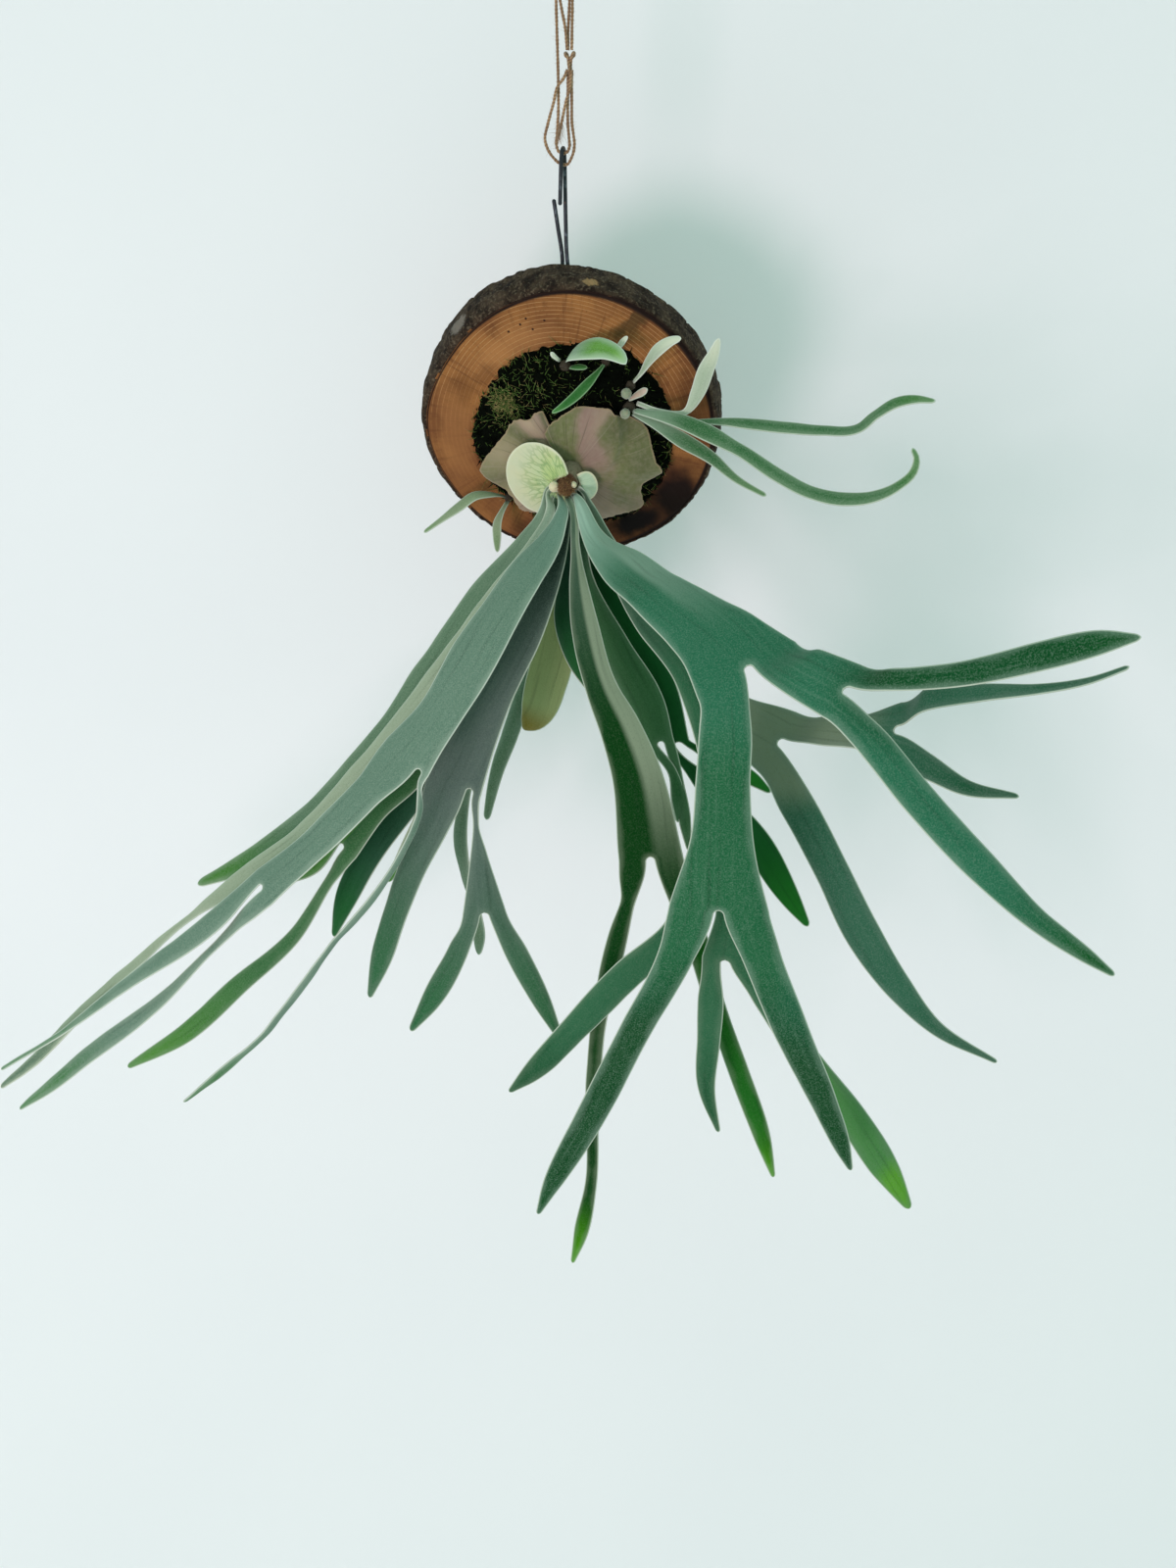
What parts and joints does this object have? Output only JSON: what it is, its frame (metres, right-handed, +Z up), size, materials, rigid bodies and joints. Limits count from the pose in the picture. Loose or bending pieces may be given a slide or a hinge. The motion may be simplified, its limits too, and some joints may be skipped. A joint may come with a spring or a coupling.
{
  "type": "mounted staghorn fern",
  "caption": "Staghorn fern on a round slice of log with moss and shield fronds, forked fronds arching out and down, hung from a wire hook and a loop of twine.",
  "frame": {"origin": "inside of the top of the twine loop, where it lies over a nail or hook", "axes": "+Z up, the plant's front towards -Y, +X to its right"},
  "size_m": [0.7323, 0.3753, 0.8298],
  "materials": {
    "wood": "sawn, rough, with bark",
    "moss": "fibrous moss",
    "stem": "hairy brown stem",
    "old_shield": "dry, papery, matt",
    "young_shield": "fresh, slightly felted",
    "frond": "leathery, felted, matt green",
    "frond_grey": "leathery, felted, grey-green",
    "frond_dark": "leathery, dark green",
    "frond_pale": "leathery, silvery felt",
    "frond_old": "ageing, olive",
    "leaf": "young, felted",
    "leaf_pale": "young, pale, woolly",
    "wire": "dark, matt",
    "screw": "zinc plated",
    "twine": "twisted jute"
  },
  "bodies": {
    "root": {"log_slice": "wood", "moss_pad": "moss", "rhizome": "stem", "old_shield_right": "old_shield", "old_shield_left": "old_shield", "young_shield": "young_shield", "small_shield": "young_shield", "hanger_wire": "wire", "hanger_screw": "screw", "pup_top_bud": "stem", "pup_top_bud_small": "stem", "pup_side_bud": "stem", "pup_side_bud_upper": "stem", "pup_left_bud": "stem", "frond_right_arch": "frond", "frond_right_inner": "frond", "frond_right_back": "frond_grey", "frond_right_dark": "frond_dark", "frond_centre": "frond", "frond_centre_back": "frond_dark", "frond_left_grey": "frond_grey", "frond_left_front": "frond_pale", "frond_left_middle": "frond_pale", "frond_left_outer": "frond_pale", "frond_left_under": "frond", "frond_left_dark": "frond_dark", "frond_short_dark": "frond_dark", "frond_old_olive": "frond_old", "frond_thin_dark": "frond_dark", "frond_thin_green": "frond", "pup_top_leaf_broad": "leaf", "pup_top_leaf_small": "leaf", "pup_top_leaf_nub": "leaf_pale", "pup_top_leaf_dark": "frond_dark", "pup_top_leaf_behind": "leaf_pale", "pup_side_leaf_upright": "leaf_pale", "pup_side_leaf_pink": "leaf_pale", "pup_side_leaf_pale": "leaf_pale", "pup_side_frond_upper": "leaf", "pup_side_frond_lower": "leaf", "pup_side_frond_short": "leaf", "pup_left_leaf_out": "leaf", "pup_left_leaf_down": "leaf", "twine_tight_turn": "twine", "twine_short_turn": "twine", "twine_slack_bight": "twine", "twine_frayed_end": "twine", "twine_knot": "twine"}
  },
  "joints": []
}
